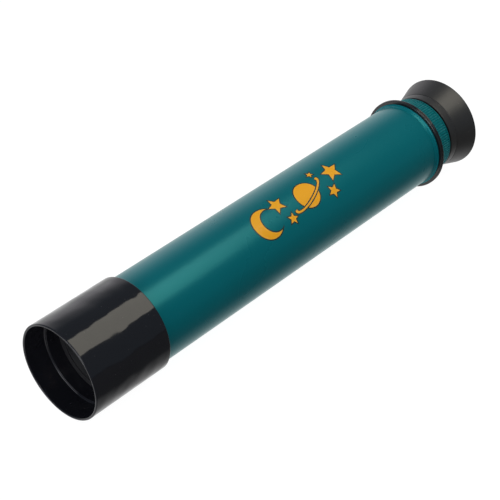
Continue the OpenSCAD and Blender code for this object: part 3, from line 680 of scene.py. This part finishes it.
def makeTube():
    # a crease and a rolled bead close the tube's rear end
    low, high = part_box("main_tube")
    radius = high.y - tubeSize["beadOut"]
    bore = radius - tubeSize["wall"]
    creaseX = high.x - tubeSize["beadLength"]
    half = tubeSize["creaseHalf"]
    endRound = tubeSize["endRound"]
    shoulderRound = tubeSize["shoulderRound"]
    points = outline([
        (low.x, bore, endRound),
        (low.x, radius, endRound),
        (creaseX - half, radius, shoulderRound),
        (creaseX, radius - tubeSize["creaseDepth"], tubeSize["creaseRound"]),
        (creaseX + half, radius + tubeSize["shoulderOut"], shoulderRound),
        (high.x - tubeSize["slopeBack"], radius + tubeSize["slopeOut"], shoulderRound),
        (high.x - tubeSize["crestBack"], high.y, shoulderRound),
        (high.x, high.y, shoulderRound),
        (high.x, bore, endRound),
    ])
    mesh = turnedMesh("tubeShell", points, "tubeSatin", segments=256,
                      boreMaterial="innerMatt", boreRadius=bore + tubeSize["boreMargin"])
    placePiece("tubeShell", mesh, "barrel", "tube_teal", "main_tube")


printSize = {
    "centreAngle": math.radians(118), "edge": 0.55 * mm, "strip": 0.8 * mm,
    "edgeHeight": 0.012 * mm, "fillHeight": 0.022 * mm, "overHeight": 0.034 * mm,
    "sink": 0.006 * mm, "mergeWithin": 0.002 * mm,
    # place along the tube, arc length from the centre angle, size
    "moon": (-13.6 * mm, -0.6 * mm, 7.4 * mm),
    "planet": (13.0 * mm, 0.4 * mm, 6.3 * mm),
    # half width, half height, band and tilt, and the part that passes in front
    "ring": (11.6 * mm, 3.3 * mm, 1.35 * mm, math.radians(21)),
    "ringFront": (math.radians(166), math.radians(374)), "ringSquash": 0.62, "ringSteps": 48,
    # as for the moon, and a turn in radians
    "stars": [(-3.4 * mm, 4.0 * mm, 4.3 * mm, 0.2), (-1.0 * mm, -5.0 * mm, 2.7 * mm, 0.9),
              (26.4 * mm, -4.6 * mm, 3.2 * mm, 0.5), (32.2 * mm, 3.6 * mm, 5.0 * mm, 0.05),
              (22.6 * mm, 8.0 * mm, 1.7 * mm, 0.4)],
    "starDepth": 0.46, "tipGrow": 1.75, "notchGrow": 1.15,
    "moonCutShift": 0.46, "moonCutSize": 0.80,
}


def circlePoints(x, y, radius, start=0.0, end=math.tau, steps=64):
    # a full circle leaves out the last point, which would fall on the first
    wholeTurn = end - start >= math.tau
    count = steps if wholeTurn else steps + 1
    angles = [start + (end - start) * k / steps for k in range(count)]
    return [Vector((x + radius * math.cos(angle), y + radius * math.sin(angle)))
            for angle in angles]


def moonPoints(x, y, radius, grow=0.0):
    # a disc with a smaller disc taken out of its right side
    cutX = x + printSize["moonCutShift"] * radius
    cutRadius = printSize["moonCutSize"] * radius - grow
    outer = radius + grow
    gap = cutX - x
    meetX = (outer * outer - cutRadius * cutRadius + gap * gap) / (2 * gap)
    outerAngle = math.acos(meetX / outer)
    cutAngle = math.acos((meetX - gap) / cutRadius)
    back = circlePoints(x, y, outer, outerAngle, math.tau - outerAngle, steps=56)
    front = circlePoints(cutX, y, cutRadius, math.tau - cutAngle, cutAngle, steps=44)
    return back + front[1:-1]


def starPoints(x, y, radius, turn, grow=0.0):
    points = []
    for k in range(10):
        angle = math.pi / 2 + turn + k * math.pi / 5
        isTip = k % 2 == 0
        reach = radius if isTip else radius * printSize["starDepth"]
        reach += grow * (printSize["tipGrow"] if isTip else printSize["notchGrow"])
        points.append(Vector((x + reach * math.cos(angle), y + reach * math.sin(angle))))
    return points


def ringPoints(x, y, start, end, grow=0.0):
    # part of a flat ring seen at a slant
    width, height, band, tilt = printSize["ring"]
    steps = printSize["ringSteps"]
    trim = grow / width
    outer = (width + grow, height + grow, start - trim, end + trim)
    inner = (width - band - grow, height - printSize["ringSquash"] * band - grow,
             end + trim, start - trim)
    points = []
    for across, up, first, last in (outer, inner):
        for k in range(steps + 1):
            angle = first + (last - first) * k / steps
            spot = Vector((across * math.cos(angle), up * math.sin(angle)))
            points.append(Vector((x + spot.x * math.cos(tilt) - spot.y * math.sin(tilt),
                                  y + spot.x * math.sin(tilt) + spot.y * math.cos(tilt))))
    return points


def patternMesh(name, shapes):
    # each shape is a flat outline and its top height; strips let it bend round the tube
    shape = bmesh.new()
    for points, height in shapes:
        flat = bmesh.new()
        flat.faces.new([flat.verts.new((point.x, point.y, 0.0)) for point in points])
        flat.normal_update()
        bmesh.ops.triangulate(flat, faces=flat.faces)
        low = min(point.y for point in points)
        high = max(point.y for point in points)
        count = int((high - low) / printSize["strip"])
        for k in range(1, count + 1):
            cut = low + (high - low) * k / (count + 1)
            bmesh.ops.bisect_plane(flat, geom=flat.verts[:] + flat.edges[:] + flat.faces[:],
                                   plane_co=(0, cut, 0), plane_no=(0, 1, 0))
        bmesh.ops.remove_doubles(flat, verts=flat.verts, dist=printSize["mergeWithin"])
        bmesh.ops.translate(flat, verts=flat.verts, vec=(0, 0, -printSize["sink"]))
        raised = bmesh.ops.extrude_face_region(flat, geom=flat.faces[:])["geom"]
        topVerts = [item for item in raised if isinstance(item, bmesh.types.BMVert)]
        bmesh.ops.translate(flat, verts=topVerts, vec=(0, 0, height + printSize["sink"]))
        bmesh.ops.recalc_face_normals(flat, faces=flat.faces)
        part = bpy.data.meshes.new("part")
        flat.to_mesh(part)
        flat.free()
        shape.from_mesh(part)
        bpy.data.meshes.remove(part)
    mesh = bpy.data.meshes.new(name)
    shape.to_mesh(mesh)
    shape.free()
    return mesh


def makePrint():
    # orange shapes, each on a dark shape that is a little larger
    moon = printSize["moon"]
    planet = printSize["planet"]
    edge = printSize["edge"]
    top = printSize["fillHeight"]
    under = printSize["edgeHeight"]
    over = printSize["overHeight"]
    front = printSize["ringFront"]
    fills = [(moonPoints(*moon), top), (circlePoints(*planet), top),
             (ringPoints(*planet[:2], *front), over)]
    edges = [(moonPoints(*moon, grow=edge), under),
             (circlePoints(planet[0], planet[1], planet[2] + edge), under),
             (ringPoints(*planet[:2], *front, grow=edge), (top + over) / 2)]
    fills += [(starPoints(*star), top) for star in printSize["stars"]]
    edges += [(starPoints(*star, grow=edge), under) for star in printSize["stars"]]
    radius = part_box("main_tube")[1].y - tubeSize["beadOut"]
    for name, shapes, material, slot in [("printFill", fills, "printOrange", "print_orange"),
                                         ("printEdge", edges, "printEdge", "tube_teal")]:
        made = runTree(name, patternMesh(name + "Flat", shapes), trees["wrap"], {
            "Radius": radius, "Centre Angle": printSize["centreAngle"],
            "Material": materials[material]})
        placePiece(name, made, "barrel", slot)


capSize = {
    "ridge": 0.5 * mm, "ridgeSteps": 12, "spigotOut": 0.2 * mm, "spigotWall": 1.4 * mm,
    "sleeveOut": 2.65 * mm, "web": 2.0 * mm, "corner": 0.12 * mm,
}


def makeCap():
    # a flange with two round ridges, and a web and a spigot in front of it
    low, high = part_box("rear_cap")
    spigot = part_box("guide_sleeve")[1].y + capSize["spigotOut"]
    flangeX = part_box("main_tube")[1].x
    ridge = capSize["ridge"]
    corner = capSize["corner"]
    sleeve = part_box("eyepiece_cell")[1].y + capSize["sleeveOut"]
    inner = spigot - capSize["spigotWall"]
    webX = low.x + capSize["web"]
    steps = capSize["ridgeSteps"]
    ridges = []
    for x in (flangeX + ridge, high.x - ridge):
        for k in range(steps + 1):
            angle = math.pi - math.pi * k / steps
            ridges.append(Vector((x + ridge * math.cos(angle),
                                  high.y - ridge + ridge * math.sin(angle))))
    front = outline([
        (high.x, inner, corner), (webX, inner, corner), (webX, sleeve, corner),
        (low.x, sleeve, corner), (low.x, spigot, corner), (flangeX, spigot, corner),
        (flangeX, high.y - ridge, 0), (high.x, high.y - ridge, 0),
    ])
    # the ridges take the place of the last two corners
    points = front[:-2] + ridges
    mesh = turnedMesh("capFlange", points, "capSemiGloss", segments=256)
    placePiece("capFlange", mesh, "barrel", "cap_black", "rear_cap")


gripSize = {
    "collar": 0.6 * mm, "ribDrop": 0.08 * mm, "ribHeight": 0.35 * mm, "ribs": 96,
    "foot": 0.55, "top": 0.30, "round": 0.16 * mm, "boreGap": 0.05 * mm, "boreRound": 0.1 * mm,
    "rootRound": 0.08 * mm, "ribReach": 0.5, "sunk": 0.08 * mm, "footUp": 0.02 * mm,
    "slopeOut": 0.03 * mm, "slopeShare": 0.72, "crestShare": 0.93, "flatShare": 0.55,
}


def ribMesh(startX, endX, rootRadius, topRadius):
    # one rib along the top of the ring, with its top corners rounded
    pitch = math.tau * topRadius / gripSize["ribs"]
    foot = gripSize["foot"] * pitch / 2
    crest = gripSize["top"] * pitch / 2
    height = topRadius - rootRadius
    half = [(foot, -gripSize["sunk"]), (foot, gripSize["footUp"]),
            (crest + gripSize["slopeOut"], gripSize["slopeShare"] * height),
            (crest, gripSize["crestShare"] * height), (gripSize["flatShare"] * crest, height)]
    section = [(-y, z) for y, z in half] + half[::-1]
    shape = bmesh.new()
    ends = []
    for x in (startX, endX):
        ends.append([shape.verts.new((x, y, rootRadius + z)) for y, z in section])
    count = len(section)
    for k in range(count):
        following = (k + 1) % count
        shape.faces.new((ends[0][k], ends[0][following], ends[1][following], ends[1][k]))
    shape.faces.new(ends[0])
    shape.faces.new(ends[1])
    bmesh.ops.recalc_face_normals(shape, faces=shape.faces)
    mesh = bpy.data.meshes.new("gripRib")
    shape.to_mesh(mesh)
    shape.free()
    return mesh


def makeGripRing():
    low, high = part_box("grip_ring")
    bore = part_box("cam_barrel")[1].y + gripSize["boreGap"]
    root = high.y - gripSize["ribDrop"] - gripSize["ribHeight"]
    collar = gripSize["collar"]
    rounding = gripSize["round"]
    boreRound = gripSize["boreRound"]
    rootRound = gripSize["rootRound"]
    points = outline([
        (low.x, bore, boreRound), (low.x, high.y, rounding),
        (low.x + collar, high.y, rounding), (low.x + collar, root, rootRound),
        (high.x - collar, root, rootRound), (high.x - collar, high.y, rounding),
        (high.x, high.y, rounding), (high.x, bore, boreRound),
    ])
    body = turnedMesh("gripRing", points, "ringSatin", segments=288)
    reach = gripSize["ribReach"] * collar
    rib = ribMesh(low.x + reach, high.x - reach, root, high.y - gripSize["ribDrop"])
    ribs = runTree("gripRibs", rib, trees["ringOf"], {
        "Count": gripSize["ribs"], "Material": materials["ringSatin"]})
    whole = bmesh.new()
    whole.from_mesh(body)
    whole.from_mesh(ribs)
    whole.to_mesh(body)
    whole.free()
    placePiece("gripRing", body, "focus", "ring_teal", "grip_ring")


cupSize = {
    "frontIn": 0.2 * mm, "baseOut": 0.05 * mm, "baseLength": 4.0 * mm, "crease": 0.25 * mm,
    "creaseSpread": 1.3, "creaseRound": 0.2 * mm, "shoulderOut": 0.05 * mm,
    "shoulderRound": 0.25 * mm, "rimWall": 1.5 * mm, "rimTrim": 0.01 * mm, "floor": 3.1 * mm,
    "floorRound": 0.9 * mm, "baseWall": 2.8 * mm, "holeOut": 0.4 * mm, "holeRound": 0.4 * mm,
    "lip": 1.05 * mm, "gap": 0.05 * mm, "drawWall": 1.25 * mm, "mouthRound": 0.15 * mm,
    "frontRound": 0.35 * mm, "innerRound": 0.1 * mm,
}


def makeEyecup():
    low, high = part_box("eyecup")
    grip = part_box("grip_ring")[1].y
    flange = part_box("draw_tube")[1]
    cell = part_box("eyepiece_cell")[1]
    gap = cupSize["gap"]
    drawRadius = cell.y + gap + cupSize["drawWall"]
    lipX = low.x + cupSize["lip"]
    baseRadius = grip + cupSize["baseOut"]
    crease = cupSize["crease"]
    creaseX = low.x + cupSize["baseLength"]
    spread = cupSize["creaseSpread"] * crease
    shoulderRound = cupSize["shoulderRound"]
    rimRound = cupSize["rimWall"] / 2 - cupSize["rimTrim"]
    floorX = flange.x + cupSize["floor"]
    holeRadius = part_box("eye_lens")[1].y + cupSize["holeOut"]
    innerRound = cupSize["innerRound"]
    points = outline([
        (low.x, drawRadius + gap, cupSize["mouthRound"]),
        (low.x, grip - cupSize["frontIn"], cupSize["frontRound"]),
        (creaseX - spread, baseRadius, shoulderRound),
        (creaseX, baseRadius - crease, cupSize["creaseRound"]),
        (creaseX + spread, baseRadius + cupSize["shoulderOut"], shoulderRound),
        (high.x, high.y, rimRound),
        (high.x, high.y - cupSize["rimWall"], rimRound),
        (floorX, baseRadius - cupSize["baseWall"], cupSize["floorRound"]),
        (floorX, holeRadius, cupSize["holeRound"]),
        (cell.x + gap, holeRadius, innerRound),
        (cell.x + gap, cell.y + gap, innerRound),
        (flange.x + gap, cell.y + gap, innerRound),
        (flange.x + gap, flange.y + gap, innerRound),
        (lipX, flange.y + gap, innerRound),
        (lipX, drawRadius + gap, innerRound),
    ])
    mesh = turnedMesh("eyecupRubber", points, "cupRubber", segments=256)
    placePiece("eyecupRubber", mesh, "eyepiece", "cup_rubber", "eyecup")


# front and rear radius of curvature, edge thickness and body
lensSize = {
    "crown_lens": (62.0 * mm, 50.0 * mm, 1.6 * mm, "barrel"),
    "eye_lens": (24.0 * mm, 24.0 * mm, 1.2 * mm, "eyepiece"),
    "field_lens": (24.0 * mm, 24.0 * mm, 1.2 * mm, "eyepiece"),
}
lensEdgeAngle = math.radians(35)


def lensFace(edgeX, radius, curve, side, steps=24):
    # points of a spherical face from the axis out to the edge; side is -1 for the front
    sagitta = curve - math.sqrt(curve * curve - radius * radius)
    points = []
    for k in range(steps + 1):
        r = radius * k / steps
        drop = curve - math.sqrt(curve * curve - r * r)
        points.append(Vector((edgeX + side * (sagitta - drop), r)))
    return points


def makeLenses():
    for node, (front, rear, edge, body) in lensSize.items():
        low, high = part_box(node)
        radius = high.y
        frontSag = front - math.sqrt(front * front - radius * radius)
        frontX = low.x + frontSag
        points = lensFace(frontX, radius, front, -1)
        points += reversed(lensFace(frontX + edge, radius, rear, 1))
        mesh = turnedMesh(node + "Glass", points, "coatedGlass", segments=128)
        mesh.set_sharp_from_angle(angle=lensEdgeAngle)
        placePiece(node.replace("_lens", "Lens"), mesh, body, "lens_glass", node)


keptFinishes = {
    "innerMatt": ["objective_cell", "objective_ring", "front_baffle", "rear_baffle", "relay_tube",
                  "relay_mount_front", "relay_mount_rear", "relay_front_ring", "relay_rear_ring",
                  "relay_stop", "guide_sleeve", "cam_barrel", "draw_tube", "eyepiece_cell",
                  "field_stop", "eyepiece_ring", "eyepiece_spacer", "barrel_clip",
                  "objective_spacer"],
    "sealRubber": ["objective_gasket", "cap_seal"],
    "pressedFelt": ["damping_ring"],
    "brightSteel": ["guide_screw_1", "guide_screw_2", "guide_screw_3", "drive_pin_1",
                    "drive_pin_2"],
    "coatedGlass": ["flint_lens", "relay_front_lens", "relay_rear_lens"],
}


def finishKeptPieces():
    for name, nodes in keptFinishes.items():
        for node in nodes:
            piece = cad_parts[node]
            for holder in piece.material_slots:
                holder.material = materials[name]


makeHood()
makeTube()
print("spyglass: hood and tube turned")
makePrint()
print("spyglass: print wrapped round the tube")
makeCap()
makeGripRing()
makeEyecup()
print("spyglass: cap, grip ring and eyecup made")
makeLenses()
finishKeptPieces()
print("spyglass: lenses and inner pieces finished")
